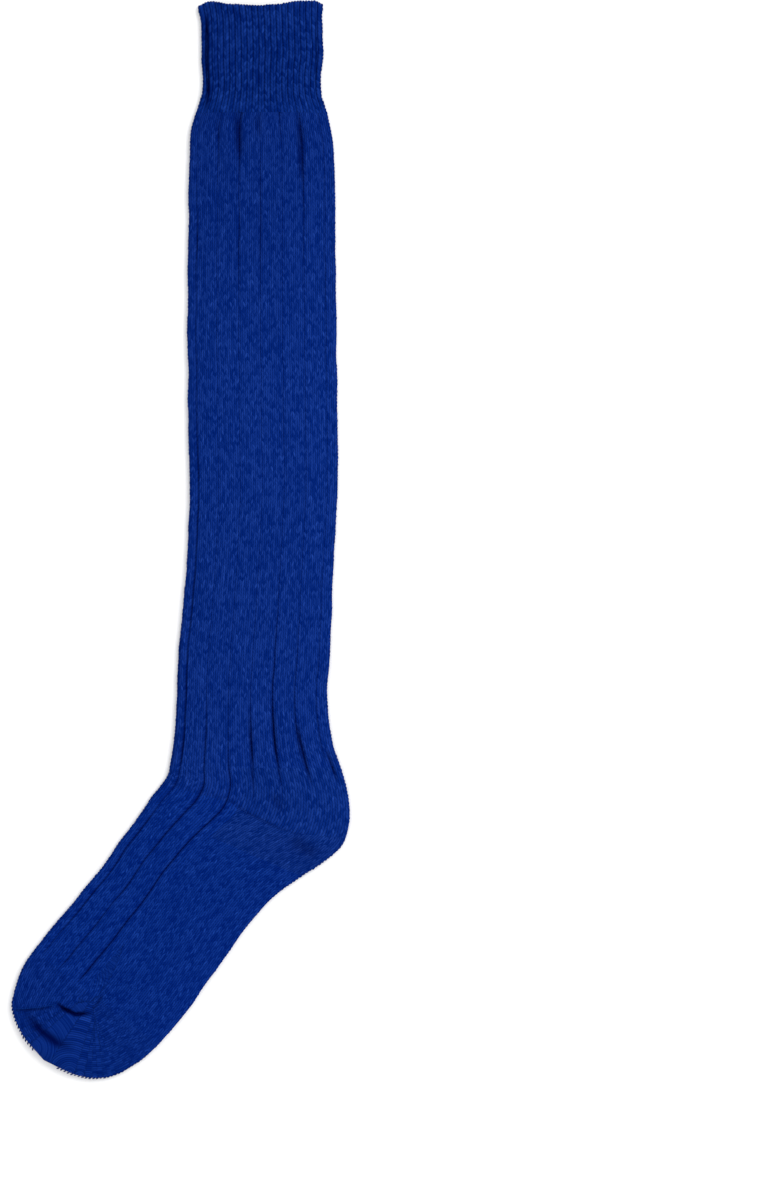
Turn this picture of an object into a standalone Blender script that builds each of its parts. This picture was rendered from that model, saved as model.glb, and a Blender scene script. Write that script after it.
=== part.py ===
"""A rib-knit knee sock lying flat: cuff, leg, heel, foot and toe as hollow walls of cloth.

Metres. The sock lies on z = 0 with its leg along +Y, its toe towards -X and -Y, and its
heel towards +X. Places along and across it are worked out from the ankle corner, where the
front of the leg turns into the instep, and moved to the middle of the whole at the end.
"""

import math
from collections import namedtuple

import bmesh
import bpy
import numpy as np
from mathutils import Vector

# Sizes of the flat sock
CUFF_LENGTH = 0.070
CUFF_WIDTH = 0.0745
LEG_LENGTH = 0.408
LEG_WIDTH = 0.0915
HEEL_WIDTH = 0.116
FOOT_LENGTH = 0.188
FOOT_WIDTH = 0.094
ANKLE_TURN = math.radians(37)
# From the ankle corner to the middle line of the leg and the cuff
LEG_MIDDLE = 0.63 * LEG_WIDTH

# The cloth and how it lies: its thickness, the sock's height in its middle and at its side folds,
# and how broad the crown between them is
CLOTH = 0.0020
LOFT = 0.0108
FOLD_HEIGHT = 0.0047
CROWN_POWER = 2.6
GAP = 0.0003

# Ribs
LEG_RIBS = 14
LEG_RIB_DEPTH = 0.0009
CUFF_RIBS = 42
CUFF_RIB_DEPTH = 0.0005
# Where the first groove is, in ribs from the front fold, and the points across each rib
RIB_PHASE = 0.45
RIB_POINTS = (0.0, 0.14, 0.5, 0.86)
# The heel and the sole lie between these places, in ribs from the first groove
HEEL_RIBS = (2.5, 10.5)
RIB_FADE = 0.012
# How near a side fold the dents fade out, as a share of the way across
FOLD_EASE = 0.08
# Where an edge slants more than this, the wall isn't made wider in its section to keep its thickness
LEAST_SQUARENESS = 0.35
# How far the toe reaches past its last section
TIP_REACH = 0.0020
# Points along a section before its columns are placed by the length of the cloth
FOLD_STEPS = 12
SPAN_STEPS = 60

# Each section is a straight line across the flat sock. "along" is a share of the length of its
# zone, and "front" and "back" are shares of the zone's width, so are the edges of the sock there.
# "turn" is the share of the ankle's turn that the line has made, "crown" the share of LOFT, and
# "dip" how far the line's middle sags towards the toe, as a share of CUFF_LENGTH.
Section = namedtuple("Section", "name zone turn along front back crown dip")
SECTIONS = (
    Section("mouth", "cuff", 0, 0.00, -0.529, 0.508, 0.90, 0.035),
    Section("", "cuff", 0, 0.11, -0.515, 0.502, 0.88, 0.020),
    Section("", "cuff", 0, 0.50, -0.508, 0.502, 0.86, 0.004),
    Section("", "cuff", 0, 0.85, -0.510, 0.496, 0.87, 0),
    Section("cuff end", "leg", 0, 0.00, -0.451, 0.441, 0.92, 0),
    Section("", "leg", 0, 0.02, -0.478, 0.461, 0.97, 0),
    Section("", "leg", 0, 0.08, -0.495, 0.488, 1.00, 0),
    Section("", "leg", 0, 0.20, -0.502, 0.495, 0.98, 0),
    Section("", "leg", 0, 0.43, -0.505, 0.505, 0.97, 0),
    Section("", "leg", 0, 0.58, -0.495, 0.508, 0.98, 0),
    Section("", "leg", 0, 0.69, -0.515, 0.481, 1.00, 0),
    Section("", "leg", 0, 0.81, -0.563, 0.461, 1.00, 0),
    Section("", "leg", 0, 0.91, -0.586, 0.447, 1.02, 0),
    Section("", "leg", 0, 0.96, -0.602, 0.480, 1.04, 0),
    Section("heel start", "heel", 0, -0.027, 0.003, 0.914, 1.04, 0),
    Section("", "heel", 0.18, 0.005, -0.005, 0.958, 1.03, 0),
    Section("", "heel", 0.31, 0.034, -0.012, 0.988, 1.01, 0),
    Section("gore", "heel", 0.39, 0.069, -0.021, 0.998, 0.99, 0),
    Section("", "heel", 0.45, 0.107, -0.032, 0.995, 0.98, 0),
    Section("", "heel", 0.53, 0.153, -0.044, 0.949, 0.98, 0),
    Section("heel end", "heel", 0.65, 0.218, -0.044, 0.866, 0.99, 0),
    Section("", "foot", 0.78, 0.191, -0.038, 1.000, 1.00, 0),
    Section("", "foot", 0.92, 0.256, -0.013, 1.000, 1.00, 0),
    Section("", "foot", 1, 0.350, 0.018, 1.025, 1.00, 0),
    Section("", "foot", 1, 0.495, 0.014, 1.034, 1.00, 0),
    Section("", "foot", 1, 0.660, -0.002, 1.036, 0.99, 0),
    Section("toe start", "foot", 1, 0.735, -0.004, 1.025, 0.98, 0),
    Section("", "foot", 1, 0.792, -0.003, 1.004, 0.97, 0),
    Section("", "foot", 1, 0.842, 0.019, 0.970, 0.93, 0),
    Section("", "foot", 1, 0.891, 0.058, 0.926, 0.90, 0),
    Section("", "foot", 1, 0.934, 0.113, 0.860, 0.84, 0),
    Section("", "foot", 1, 0.970, 0.220, 0.755, 0.73, 0),
    Section("", "foot", 1, 0.987, 0.300, 0.665, 0.60, 0),
    Section("toe tip", "foot", 1, 0.995, 0.370, 0.590, 0.50, 0),
)

# Dents in the upper layer. "share" is the way across from the front edge, "start" and "end" are
# shares of the stretch between the two named sections, "width" a share of the leg's width and
# "depth" a share of the cloth.
Dent = namedtuple("Dent", "first last start end share share_end width depth")
DENTS = (
    Dent("cuff end", "heel start", -0.02, 0.07, 0.32, 0.34, 0.040, 0.50),
    Dent("cuff end", "heel start", -0.01, 0.09, 0.77, 0.76, 0.040, 0.45),
    Dent("cuff end", "heel start", 0.92, 1.03, 0.47, 0.50, 0.035, 0.45),
    Dent("cuff end", "heel start", 0.90, 1.01, 0.63, 0.65, 0.035, 0.45),
    Dent("cuff end", "heel start", 0.92, 1.01, 0.79, 0.79, 0.035, 0.40),
    Dent("gore", "heel end", -0.35, 0.35, 0.75, 0.75, 0.250, 0.35),
    Dent("toe start", "toe tip", 0.08, 0.48, 0.64, 0.28, 0.060, 0.60),
    Dent("toe start", "toe tip", 0.35, 0.90, 0.34, 0.06, 0.060, 0.40),
    Dent("toe start", "toe tip", 0.60, 0.92, 0.60, 0.20, 0.080, 0.30),
)

# Rows of points between neighbouring named sections
ROWS = {
    ("mouth", "cuff end"): 5,
    ("cuff end", "heel start"): 19,
    ("heel start", "gore"): 4,
    ("gore", "heel end"): 4,
    ("heel end", "toe start"): 9,
    ("toe start", "toe tip"): 9,
}

# The colours in the light that falls on the sock, as red, green and blue without gamma
COLOURS = {
    "cuff": (0.0020, 0.0168, 0.152),
    "leg": (0.0024, 0.0215, 0.190),
    "heel": (0.0024, 0.0220, 0.184),
    "foot": (0.0024, 0.0212, 0.187),
    "toe": (0.0020, 0.0190, 0.176),
}
ROUGHNESS = 0.95


def clear_scene():
    for thing in list(bpy.data.objects):
        bpy.data.objects.remove(thing, do_unlink=True)


def cloth_material(name):
    """A matt Principled material in the colour of one piece."""
    material = bpy.data.materials.new(name + " cloth")
    material.use_nodes = True
    shader = material.node_tree.nodes["Principled BSDF"]
    shader.inputs["Base Color"].default_value = (*COLOURS[name], 1)
    shader.inputs["Roughness"].default_value = ROUGHNESS
    shader.inputs["Metallic"].default_value = 0
    return material


def edge_points(section):
    """The plan points of a section's front and back edges, from the ankle corner."""
    origin, length, middle, width = {
        "cuff": (-LEG_LENGTH - CUFF_LENGTH, CUFF_LENGTH, LEG_MIDDLE, CUFF_WIDTH),
        "leg": (-LEG_LENGTH, LEG_LENGTH, LEG_MIDDLE, LEG_WIDTH),
        "heel": (0, HEEL_WIDTH, 0, HEEL_WIDTH),
        "foot": (0, FOOT_LENGTH, 0, FOOT_WIDTH),
    }[section.zone]
    angle = -section.turn * ANKLE_TURN
    across = np.array((math.cos(angle), math.sin(angle)))
    onward = np.array((across[1], -across[0]))
    start = onward * (origin + section.along * length)
    return [start + across * (middle + share * width) for share in (section.front, section.back)]


class Sock:
    """The sock's surface, as a function of the way around, the way along and the depth."""

    def __init__(self):
        edges = np.array([edge_points(section) for section in SECTIONS])
        low = edges.reshape(-1, 2).min(axis=0)
        high = edges.reshape(-1, 2).max(axis=0)
        edges -= (low + high) / 2
        middles = edges.mean(axis=1)
        steps = np.linalg.norm(np.diff(middles, axis=0), axis=1)
        self.places = np.concatenate(([0], np.cumsum(steps)))
        self.table = np.column_stack(
            (
                edges.reshape(-1, 4),
                [section.crown * LOFT for section in SECTIONS],
                [section.dip * CUFF_LENGTH for section in SECTIONS],
            )
        )
        self.slopes = np.gradient(self.table, self.places, axis=0)
        self.named = {s.name: p for s, p in zip(SECTIONS, self.places) if s.name}

    def row(self, along):
        """The table's columns at a place along the sock, and their change per metre there."""
        i = int(np.clip(np.searchsorted(self.places, along) - 1, 0, len(self.places) - 2))
        span = self.places[i + 1] - self.places[i]
        t = (along - self.places[i]) / span
        ends = self.table[i : i + 2]
        leans = self.slopes[i : i + 2] * span
        value = (
            ends[0] * (2 * t**3 - 3 * t**2 + 1)
            + leans[0] * (t**3 - 2 * t**2 + t)
            + ends[1] * (3 * t**2 - 2 * t**3)
            + leans[1] * (t**3 - t**2)
        )
        change = (
            (ends[1] - ends[0]) * (6 * t - 6 * t**2)
            + leans[0] * (3 * t**2 - 4 * t + 1)
            + leans[1] * (3 * t**2 - 2 * t)
        ) / span
        return value, change

    def ring(self, rounds, along, inset):
        """Points at the given ways around (0 front, 0.5 back, 1 front again) and their shares.

        A share is how far across from the front edge a point is. The way from front to back
        runs over the top, and the inset brings the point in from the outer face.
        """
        value, change = self.row(along)
        front, back = value[:2], value[2:4]
        width = np.linalg.norm(back - front)
        across = (back - front) / width
        onward = np.array((across[1], -across[0]))
        margins = []
        for heading in (change[:2], change[2:4]):
            squareness = abs(heading @ onward) / np.linalg.norm(heading)
            margins.append(inset / max(squareness, LEAST_SQUARENESS))
        front = front + across * margins[0]
        width -= sum(margins)
        fold = min(FOLD_HEIGHT / 2 - inset, width / 2)
        x, z = flat_tube(rounds, width, fold, value[4] - 2 * inset)
        sag = value[5] * (1 - (2 * x / width - 1) ** 2)
        plan = front + np.outer(x, across) + np.outer(sag, onward)
        return np.column_stack((plan, z + inset)), x / width

    def tip_point(self, inset):
        """The point that closes the toe, past the middle of the last section."""
        value, _ = self.row(self.places[-1])
        across = (value[2:4] - value[:2]) / np.linalg.norm(value[2:4] - value[:2])
        onward = np.array((across[1], -across[0]))
        plan = (value[:2] + value[2:4]) / 2 + onward * (TIP_REACH - inset)
        return Vector((*plan, value[4] / 2))

    def girth(self, along):
        value, _ = self.row(along)
        return 2 * np.linalg.norm(value[2:4] - value[:2])


def flat_tube(rounds, width, fold, crown):
    """The section of a tube lying flat: a fold at each side, a crown over a flat base.

    Places are even by the length of cloth, on the upper layer and on the lower one.
    """
    turn = np.linspace(0, math.pi / 2, FOLD_STEPS)
    span = np.linspace(fold, width - fold, SPAN_STEPS)[1:-1]
    bulge = 1 - np.abs(2 * span / width - 1) ** CROWN_POWER
    at_fold = 1 - abs(2 * fold / width - 1) ** CROWN_POWER
    rise = max(crown - 2 * fold, 0) * (bulge - at_fold) / (1 - at_fold)
    x = np.concatenate((fold - fold * np.cos(turn), span, width - fold + fold * np.sin(turn)))
    upper = (fold + fold * np.sin(turn), 2 * fold + rise, fold + fold * np.cos(turn))
    lower = (fold - fold * np.sin(turn), 0 * span, fold - fold * np.cos(turn))
    places = []
    for z, way in ((np.concatenate(upper), 2 * rounds), (np.concatenate(lower), 2 - 2 * rounds)):
        length = np.concatenate(([0], np.cumsum(np.hypot(np.diff(x), np.diff(z)))))
        places.append([np.interp(way, length / length[-1], side) for side in (x, z)])
    return np.where(rounds < 0.5, *places)


def rib_groove(rounds, ribs, phase):
    """1 at the bottom of a groove, falling to 0 on the crown of a rib."""
    place = (rounds * ribs - phase) % 1
    return max(1 - min(place, 1 - place) / RIB_POINTS[1], 0)


def is_behind(rounds):
    """Whether a way around lies on the heel's and the sole's side."""
    return HEEL_RIBS[0] < (rounds * LEG_RIBS - RIB_PHASE) % LEG_RIBS < HEEL_RIBS[1]


def groove_depth(sock, piece, rounds, along):
    """The depth of the rib grooves: cuff and leg all around, foot over the instep only."""
    if piece == "cuff":
        return CUFF_RIB_DEPTH * rib_groove(rounds, CUFF_RIBS, 0)
    if piece in ("heel", "toe") or (piece == "foot" and is_behind(rounds)):
        return 0
    to_toe = min((sock.named["toe start"] - along) / RIB_FADE, 1)
    return LEG_RIB_DEPTH * to_toe * rib_groove(rounds, LEG_RIBS, RIB_PHASE)


def dent_depth(sock, share, along):
    """How far the dents lower the upper layer at a share of the way across."""
    total = 0
    for dent in DENTS:
        first, last = sock.named[dent.first], sock.named[dent.last]
        start = first + dent.start * (last - first)
        end = first + dent.end * (last - first)
        t = (along - start) / (end - start)
        if 0 < t < 1:
            middle = dent.share + t * (dent.share_end - dent.share)
            spread = math.exp(-(((share - middle) / dent.width) ** 2))
            total += dent.depth * CLOTH * math.sin(math.pi * t) * spread
    beside_fold = min(min(share, 1 - share) / FOLD_EASE, 1)
    return total * beside_fold


def surface_point(sock, piece, rounds, along, inset):
    """A point of a piece's outer face (inset 0) or inner face (inset CLOTH)."""
    rounds = np.array([rounds % 1])
    points, share = sock.ring(rounds, along, inset)
    point = points[0]
    if not inset:
        inner, _ = sock.ring(rounds, along, CLOTH)
        point = point + (inner[0] - point) * groove_depth(sock, piece, rounds[0], along) / CLOTH
    if rounds[0] < 0.5:
        point[2] -= dent_depth(sock, share[0], along)
    return Vector(point)


def places_between(sock, first, last):
    """Places along the sock from one named section to another, even in each stretch of ROWS."""
    places = [sock.named[first]]
    for (start, end), steps in ROWS.items():
        if sock.named[first] <= sock.named[start] and sock.named[end] <= sock.named[last]:
            places += list(np.linspace(sock.named[start], sock.named[end], steps + 1)[1:])
    return places


def wall(sock, piece, columns, rows, is_cloth, closed_tip=False):
    """A closed wall of cloth over the cells of a grid, half a gap short of its neighbours.

    Columns are ways around the sock and rows are places along it. is_cloth says, for the middle
    of a cell, whether the wall covers it. A closed tip joins the last row to a point.
    """
    count = len(columns)
    last = len(rows) - 1
    cells = set()
    for row in range(last):
        for column in range(count):
            step = (columns[(column + 1) % count] - columns[column]) % 1
            if is_cloth(columns[column] + step / 2, (rows[row] + rows[row + 1]) / 2):
                cells.add((row, column))
    mesh = bmesh.new()
    corners = {}

    def is_open(row, column):
        return (row, column % count) not in cells and not (closed_tip and row == last)

    def corner(row, column):
        """The outer and the inner point of a grid corner, drawn back from the wall's edge."""
        if (row, column % count) not in corners:
            missing = [
                (2 * down + 1, 2 * left + 1)
                for down in (-1, 0)
                for left in (-1, 0)
                if is_open(row + down, column + left)
            ]
            down, left = np.sign(np.sum(missing, axis=0)) if missing else (0, 0)
            along = rows[row] - down * GAP / 2
            rounds = columns[column % count] - left * GAP / 2 / sock.girth(along)
            corners[row, column % count] = [
                mesh.verts.new(surface_point(sock, piece, rounds, along, inset))
                for inset in (0, CLOTH)
            ]
        return corners[row, column % count]

    for row, column in sorted(cells):
        around = [
            corner(row, column),
            corner(row + 1, column),
            corner(row + 1, column + 1),
            corner(row, column + 1),
        ]
        mesh.faces.new([outer for outer, _ in around])
        mesh.faces.new([inner for _, inner in reversed(around)])
        beyond = ((row, column - 1), (row + 1, column), (row, column + 1), (row - 1, column))
        for side, neighbour in enumerate(beyond):
            if is_open(*neighbour):
                start, end = around[side], around[(side + 1) % 4]
                mesh.faces.new((start[0], start[1], end[1], end[0]))
    if closed_tip:
        outer_tip, inner_tip = (mesh.verts.new(sock.tip_point(inset)) for inset in (0, CLOTH))
        for column in range(count):
            start, end = corner(last, column), corner(last, column + 1)
            mesh.faces.new((start[0], outer_tip, end[0]))
            mesh.faces.new((end[1], inner_tip, start[1]))
    return mesh


def build_sock():
    """The five walls of the sock, by the names of their pieces."""
    sock = Sock()
    heel_start, heel_end = sock.named["heel start"], sock.named["heel end"]
    fine = [step / (2 * CUFF_RIBS) for step in range(2 * CUFF_RIBS)]
    wide = [(rib + point + RIB_PHASE) / LEG_RIBS for rib in range(LEG_RIBS) for point in RIB_POINTS]
    stretches = {
        "cuff": (fine, "mouth", "cuff end", lambda rounds, along: True),
        "leg": (
            wide,
            "cuff end",
            "gore",
            lambda rounds, along: along < heel_start or not is_behind(rounds),
        ),
        "heel": (wide, "heel start", "heel end", lambda rounds, along: is_behind(rounds)),
        "foot": (
            wide,
            "gore",
            "toe start",
            lambda rounds, along: along > heel_end or not is_behind(rounds),
        ),
        "toe": (wide, "toe start", "toe tip", lambda rounds, along: True),
    }
    return {
        piece: wall(sock, piece, columns, places_between(sock, first, last), test, piece == "toe")
        for piece, (columns, first, last, test) in stretches.items()
    }


def main():
    clear_scene()
    walls = build_sock()
    points = np.array([point.co for mesh in walls.values() for point in mesh.verts])
    middle = (points.min(axis=0) + points.max(axis=0)) / 2
    for piece, mesh in walls.items():
        bmesh.ops.translate(mesh, vec=(-middle[0], -middle[1], 0), verts=mesh.verts)
        data = bpy.data.meshes.new(piece)
        mesh.to_mesh(data)
        mesh.free()
        data.shade_smooth()
        data.materials.append(cloth_material(piece))
        bpy.context.scene.collection.objects.link(bpy.data.objects.new(piece, data))


main()
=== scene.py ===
# %% [markdown]
# # A rib-knit knee sock, laid flat
#
# The sock is one tube of knitted cloth: a fine-ribbed cuff, a leg in wide ribs, a turned heel, a
# foot with ribs over the instep, and a closed toe. It lies flat on a pale table and is seen from
# straight above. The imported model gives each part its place. Here each part gets its ribs, its
# stitches and its colour.

import math
from collections import namedtuple
from functools import partial

import bpy
import numpy as np
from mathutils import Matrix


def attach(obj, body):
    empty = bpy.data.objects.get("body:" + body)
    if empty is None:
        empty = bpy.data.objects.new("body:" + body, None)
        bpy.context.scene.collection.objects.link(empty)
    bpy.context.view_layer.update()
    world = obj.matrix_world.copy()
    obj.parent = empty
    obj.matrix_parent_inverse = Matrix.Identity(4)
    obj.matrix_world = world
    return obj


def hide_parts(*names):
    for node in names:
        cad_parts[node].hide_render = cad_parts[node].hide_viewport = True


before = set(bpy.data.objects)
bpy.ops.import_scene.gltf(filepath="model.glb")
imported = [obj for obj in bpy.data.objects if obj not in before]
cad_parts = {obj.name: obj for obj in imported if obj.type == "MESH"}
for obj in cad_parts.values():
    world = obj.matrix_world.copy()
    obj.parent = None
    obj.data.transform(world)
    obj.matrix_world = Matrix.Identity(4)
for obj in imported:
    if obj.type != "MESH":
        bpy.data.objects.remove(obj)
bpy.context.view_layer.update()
PIECES = ("cuff", "leg", "heel", "foot", "toe")

# %% [markdown]
# ## The sock's sizes
#
# A flat sock is easiest to describe as a pile of straight lines across it. Each line has a front
# end, a back end and a height in its middle. The lines are level on the leg and turn at the
# ankle, as the rows of knitting do, so that the foot needs no shape of its own. A short table of
# such lines keeps the whole outline in one place.

# %% Sizes
# Every length is in metres
CUFF_LENGTH = 0.070
CUFF_WIDTH = 0.0745
LEG_LENGTH = 0.408
LEG_WIDTH = 0.0915
HEEL_WIDTH = 0.116
FOOT_LENGTH = 0.188
FOOT_WIDTH = 0.094
ANKLE_TURN = math.radians(37)
LEG_MIDDLE = 0.63 * LEG_WIDTH
CLOTH = 0.0020
LOFT = 0.0108
FOLD_HEIGHT = 0.0047
CROWN_POWER = 2.6
LEG_RIBS = 14
CUFF_RIBS = 42
RIB_PHASE = 0.45
# The heel and the sole lie between these places, in ribs from the first groove
HEEL_RIBS = (2.5, 10.5)
TIP_REACH = 0.0020
LEAST_SQUARENESS = 0.35

# %% The lines across the sock
# "along", "front" and "back" are shares of the length and the width of the zone, "turn" is the
# share of the ankle's turn, "crown" the share of LOFT and "dip" how far the middle sags.
Line = namedtuple("Line", "name zone turn along front back crown dip")
LINES = (
    Line("mouth", "cuff", 0, 0.00, -0.529, 0.508, 0.90, 0.035),
    Line("", "cuff", 0, 0.11, -0.515, 0.502, 0.88, 0.020),
    Line("", "cuff", 0, 0.50, -0.508, 0.502, 0.86, 0.004),
    Line("", "cuff", 0, 0.85, -0.510, 0.496, 0.87, 0),
    Line("cuff end", "leg", 0, 0.00, -0.451, 0.441, 0.92, 0),
    Line("", "leg", 0, 0.02, -0.478, 0.461, 0.97, 0),
    Line("", "leg", 0, 0.08, -0.495, 0.488, 1.00, 0),
    Line("", "leg", 0, 0.20, -0.502, 0.495, 0.98, 0),
    Line("", "leg", 0, 0.43, -0.505, 0.505, 0.97, 0),
    Line("", "leg", 0, 0.58, -0.495, 0.508, 0.98, 0),
    Line("", "leg", 0, 0.69, -0.515, 0.481, 1.00, 0),
    Line("", "leg", 0, 0.81, -0.563, 0.461, 1.00, 0),
    Line("", "leg", 0, 0.91, -0.586, 0.447, 1.02, 0),
    Line("", "leg", 0, 0.96, -0.602, 0.480, 1.04, 0),
    Line("heel start", "heel", 0, -0.027, 0.003, 0.914, 1.04, 0),
    Line("", "heel", 0.18, 0.005, -0.005, 0.958, 1.03, 0),
    Line("", "heel", 0.31, 0.034, -0.012, 0.988, 1.01, 0),
    Line("gore", "heel", 0.39, 0.069, -0.021, 0.998, 0.99, 0),
    Line("", "heel", 0.45, 0.107, -0.032, 0.995, 0.98, 0),
    Line("", "heel", 0.53, 0.153, -0.044, 0.949, 0.98, 0),
    Line("heel end", "heel", 0.65, 0.218, -0.044, 0.866, 0.99, 0),
    Line("", "foot", 0.78, 0.191, -0.038, 1.000, 1.00, 0),
    Line("", "foot", 0.92, 0.256, -0.013, 1.000, 1.00, 0),
    Line("", "foot", 1, 0.350, 0.018, 1.025, 1.00, 0),
    Line("", "foot", 1, 0.495, 0.014, 1.034, 1.00, 0),
    Line("", "foot", 1, 0.660, -0.002, 1.036, 0.99, 0),
    Line("toe start", "foot", 1, 0.735, -0.004, 1.025, 0.98, 0),
    Line("", "foot", 1, 0.792, -0.003, 1.004, 0.97, 0),
    Line("", "foot", 1, 0.842, 0.019, 0.970, 0.93, 0),
    Line("", "foot", 1, 0.891, 0.058, 0.926, 0.90, 0),
    Line("", "foot", 1, 0.934, 0.113, 0.860, 0.84, 0),
    Line("", "foot", 1, 0.970, 0.220, 0.755, 0.73, 0),
    Line("", "foot", 1, 0.987, 0.300, 0.665, 0.60, 0),
    Line("toe tip", "foot", 1, 0.995, 0.370, 0.590, 0.50, 0),
)


def edge_points(line):
    """The front and back ends of a line, in plan, from the ankle corner."""
    origin, length, middle, width = {
        "cuff": (-LEG_LENGTH - CUFF_LENGTH, CUFF_LENGTH, LEG_MIDDLE, CUFF_WIDTH),
        "leg": (-LEG_LENGTH, LEG_LENGTH, LEG_MIDDLE, LEG_WIDTH),
        "heel": (0, HEEL_WIDTH, 0, HEEL_WIDTH),
        "foot": (0, FOOT_LENGTH, 0, FOOT_WIDTH),
    }[line.zone]
    angle = -line.turn * ANKLE_TURN
    across = np.array((math.cos(angle), math.sin(angle)))
    onward = np.array((across[1], -across[0]))
    start = onward * (origin + line.along * length)
    return [start + across * (middle + share * width) for share in (line.front, line.back)]


edges = np.array([edge_points(line) for line in LINES])
edges -= (edges.reshape(-1, 2).min(axis=0) + edges.reshape(-1, 2).max(axis=0)) / 2
line_steps = np.linalg.norm(np.diff(edges.mean(axis=1), axis=0), axis=1)
line_places = np.concatenate(([0], np.cumsum(line_steps)))
line_table = np.column_stack(
    (
        edges.reshape(-1, 4),
        [line.crown * LOFT for line in LINES],
        [line.dip * CUFF_LENGTH for line in LINES],
    )
)
line_slopes = np.gradient(line_table, line_places, axis=0)
named_places = {line.name: place for line, place in zip(LINES, line_places) if line.name}
print("places along the sock:", {name: round(place, 3) for name, place in named_places.items()})

# %% [markdown]
# ## A little waver
#
# No edge of knitting is quite straight. The edges could be drawn point by point, but a row of
# random numbers, smoothed so that neighbours agree, does the same in one line. Each row has a
# seed of its own, so the waver is the same on every run.

# %% Soft random numbers
def smooth_noise(seed, size, smoothness):
    """A row of soft random numbers of about unit size."""
    rough = np.random.default_rng(seed).normal(size=size + 6 * smoothness)
    kernel = np.exp(-(np.linspace(-2, 2, 4 * smoothness + 1) ** 2))
    soft = np.convolve(rough, kernel, "same")[3 * smoothness : 3 * smoothness + size]
    return soft / np.sqrt((kernel**2).sum())


WAVER_STEPS = 700
EDGE_WAVER = 0.00022
EDGE_SEEDS, EDGE_SMOOTHNESS = (11, 12), 8
waver_places = np.linspace(0, line_places[-1], WAVER_STEPS)
edge_wavers = [EDGE_WAVER * smooth_noise(seed, WAVER_STEPS, EDGE_SMOOTHNESS) for seed in EDGE_SEEDS]

# %% [markdown]
# ## The flat tube
#
# Between two lines of the table the sock follows a smooth curve, so that the outline has no
# corners. Across the sock, the tube is a fold at each side, a flat layer below and a slightly
# crowned one above. A place on the cloth is a share of the way around and a length along it.
# That pair is also what the knitting follows, so the stitches never slide over the shape.

# %% From a place on the cloth to a point in space
FOLD_STEPS = 12
SPAN_STEPS = 60
# The mouth's edge curls down at its corners and waves in between. The lifts are in millimetres.
MOUTH_SHARES = (0, 0.03, 0.065, 0.12, 0.22, 0.33, 0.49, 0.57, 0.67, 0.75, 0.85, 0.94, 0.975, 1)
MOUTH_LIFTS = (-4.3, -2.4, -0.9, -0.4, -1.4, -1.4, -1.9, -1.4, -1.2, 0.0, 0.1, -0.2, -1.3, -3.0)
MOUTH_REACH = 0.010


def line_at(along):
    """The table's columns at one place along the sock, and their change per metre there."""
    i = int(np.clip(np.searchsorted(line_places, along) - 1, 0, len(line_places) - 2))
    span = line_places[i + 1] - line_places[i]
    t = (along - line_places[i]) / span
    ends = line_table[i : i + 2]
    leans = line_slopes[i : i + 2] * span
    value = (
        ends[0] * (2 * t**3 - 3 * t**2 + 1)
        + leans[0] * (t**3 - 2 * t**2 + t)
        + ends[1] * (3 * t**2 - 2 * t**3)
        + leans[1] * (t**3 - t**2)
    )
    change = (
        (ends[1] - ends[0]) * (6 * t - 6 * t**2)
        + leans[0] * (3 * t**2 - 4 * t + 1)
        + leans[1] * (3 * t**2 - 2 * t)
    ) / span
    return value, change


def flat_tube(rounds, width, fold, crown):
    """The section of a tube lying flat, with its places even by the length of cloth."""
    turn = np.linspace(0, math.pi / 2, FOLD_STEPS)
    span = np.linspace(fold, width - fold, SPAN_STEPS)[1:-1]
    bulge = 1 - np.abs(2 * span / width - 1) ** CROWN_POWER
    at_fold = 1 - abs(2 * fold / width - 1) ** CROWN_POWER
    rise = max(crown - 2 * fold, 0) * (bulge - at_fold) / (1 - at_fold)
    x = np.concatenate((fold - fold * np.cos(turn), span, width - fold + fold * np.sin(turn)))
    upper = (fold + fold * np.sin(turn), 2 * fold + rise, fold + fold * np.cos(turn))
    lower = (fold - fold * np.sin(turn), 0 * span, fold - fold * np.cos(turn))
    places = []
    for z, way in ((np.concatenate(upper), 2 * rounds), (np.concatenate(lower), 2 - 2 * rounds)):
        length = np.concatenate(([0], np.cumsum(np.hypot(np.diff(x), np.diff(z)))))
        places.append([np.interp(way, length / length[-1], side) for side in (x, z)])
    return np.where(rounds < 0.5, *places)


def ring(rounds, along, inset):
    """Points at the given ways around, at one place along, and how far across each one is."""
    value, change = line_at(along)
    front, back = value[:2], value[2:4]
    width = np.linalg.norm(back - front)
    across = (back - front) / width
    onward = np.array((across[1], -across[0]))
    front = front + across * np.interp(along, waver_places, edge_wavers[0])
    back = back + across * np.interp(along, waver_places, edge_wavers[1])
    width = np.linalg.norm(back - front)
    margins = []
    for heading in (change[:2], change[2:4]):
        squareness = abs(heading @ onward) / np.linalg.norm(heading)
        margins.append(inset / max(squareness, LEAST_SQUARENESS))
    front = front + across * margins[0]
    width -= sum(margins)
    fold = min(FOLD_HEIGHT / 2 - inset, width / 2)
    x, z = flat_tube(rounds, width, fold, value[4] - 2 * inset)
    sag = value[5] * (1 - (2 * x / width - 1) ** 2)
    lift = np.interp(x / width, MOUTH_SHARES, MOUTH_LIFTS) / 1000
    sag = sag - lift * math.exp(-((along / MOUTH_REACH) ** 2))
    plan = front + np.outer(x, across) + np.outer(sag, onward)
    return np.column_stack((plan, z + inset)), x / width


def cloth_points(rounds, alongs, inset):
    """A grid of points, a row for each place along, and their shares of the way across."""
    rows = [ring(rounds % 1, along, inset) for along in alongs]
    return np.array([points for points, _ in rows]), np.array([share for _, share in rows])


def is_behind(rounds):
    """Whether a way around lies on the heel's and the sole's side."""
    place = (rounds * LEG_RIBS - RIB_PHASE) % LEG_RIBS
    return (HEEL_RIBS[0] < place) & (place < HEEL_RIBS[1])


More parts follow.
